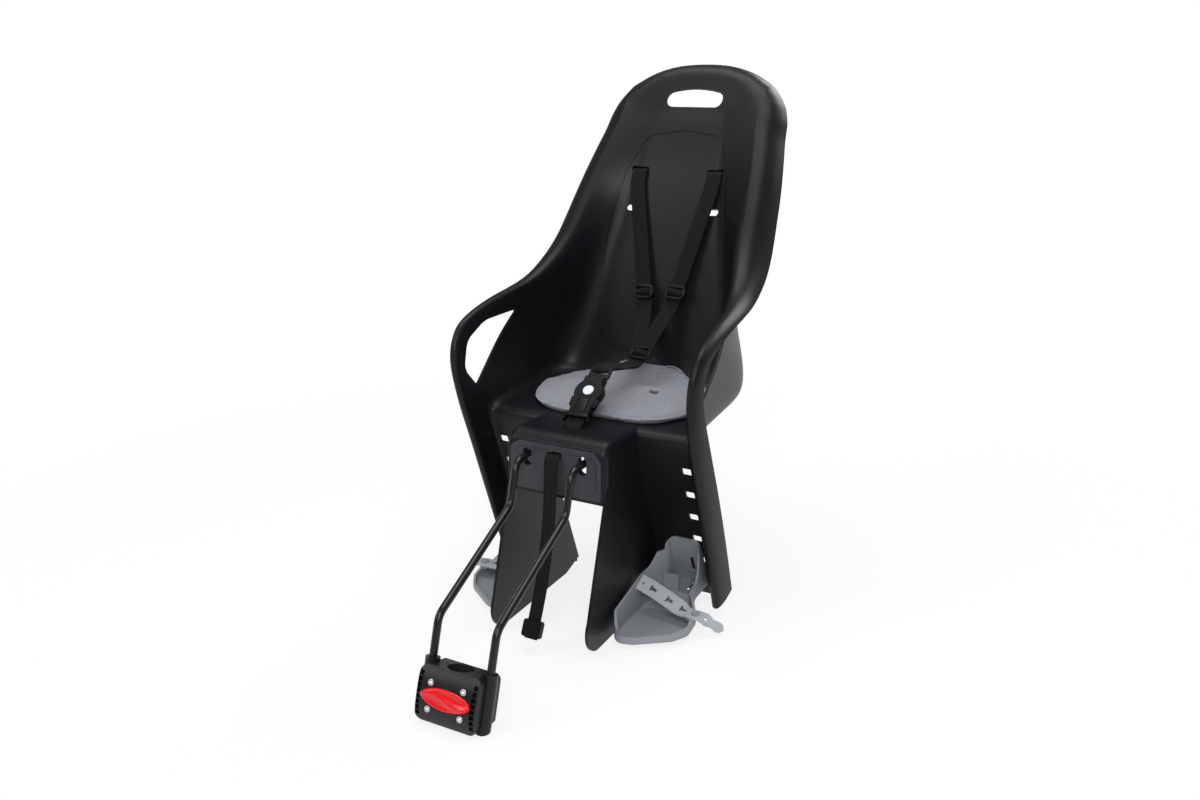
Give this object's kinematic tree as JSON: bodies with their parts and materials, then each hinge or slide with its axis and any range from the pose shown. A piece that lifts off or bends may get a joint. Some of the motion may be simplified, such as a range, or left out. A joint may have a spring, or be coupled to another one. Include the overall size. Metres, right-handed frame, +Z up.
{
  "type": "child bicycle seat",
  "caption": "Moulded rear child seat for a bicycle on a bent rod fork with a seat tube clamp, sliding footrests, shoulder harness with press buckle, and felt pad.",
  "frame": {"origin": "on the floor under the middle of the whole seat", "axes": "+X to the child's left, +Y to the rear of the bicycle, +Z up"},
  "size_m": [0.4332, 0.7957, 0.7724],
  "materials": {
    "shell_black": "satin moulded, fine grain",
    "trim_black": "satin moulded",
    "block_black": "satin moulded, ribbed",
    "rod_black": "satin black coat",
    "steel": "bright zinc",
    "rubber": "matt",
    "red": "glossy",
    "webbing": "ribbed woven",
    "felt": "heathered felt",
    "pale_grey": "semi gloss",
    "mid_grey": "satin moulded",
    "strap_grey": "soft moulded"
  },
  "bodies": {
    "seat": {"block_bolts": "steel", "block_front": "block_black", "block_nuts": "steel", "block_rear": "block_black", "buckle_body": "trim_black", "buckle_tongue": "trim_black", "carrier_fork": "rod_black", "crotch_anchor": "trim_black", "crotch_strap": "webbing", "fork_clamp": "rod_black", "fork_plate": "trim_black", "fork_saddle": "trim_black", "fork_screws": "steel", "merge_slider": "trim_black", "safety_buckle": "trim_black", "safety_strap": "webbing", "seat_pad": "felt", "seat_shell": "shell_black", "shoulder_anchor_left": "trim_black", "shoulder_anchor_right": "trim_black", "shoulder_strap_left": "webbing", "shoulder_strap_right": "webbing", "strap_slider_left": "trim_black", "strap_slider_right": "trim_black", "tube_liner": "rubber"},
    "left_footrest": {"footrest_left": "mid_grey", "foot_strap_left": "strap_grey"},
    "right_footrest": {"footrest_right": "mid_grey", "foot_strap_right": "strap_grey"},
    "buckle_press": {"buckle_button": "pale_grey"},
    "release_press": {"release_button": "red"}
  },
  "joints": [
    {"name": "left_footrest_slide", "type": "slide", "parent": "seat", "child": "left_footrest", "axis": [0, -0.3697, 0.9291], "range_m": [0, 0.086]},
    {"name": "right_footrest_slide", "type": "slide", "parent": "seat", "child": "right_footrest", "axis": [0, -0.3697, 0.9291], "range_m": [0, 0.086]},
    {"name": "buckle_press_slide", "type": "slide", "parent": "seat", "child": "buckle_press", "axis": [0, 0.6018, -0.7986], "range_m": [0, 0.003], "stiffness_N_per_m": 800, "springref_m": -0.003},
    {"name": "release_press_slide", "type": "slide", "parent": "seat", "child": "release_press", "axis": [0, 0.9532, -0.3024], "range_m": [0, 0.004], "stiffness_N_per_m": 1500, "springref_m": -0.004}
  ]
}
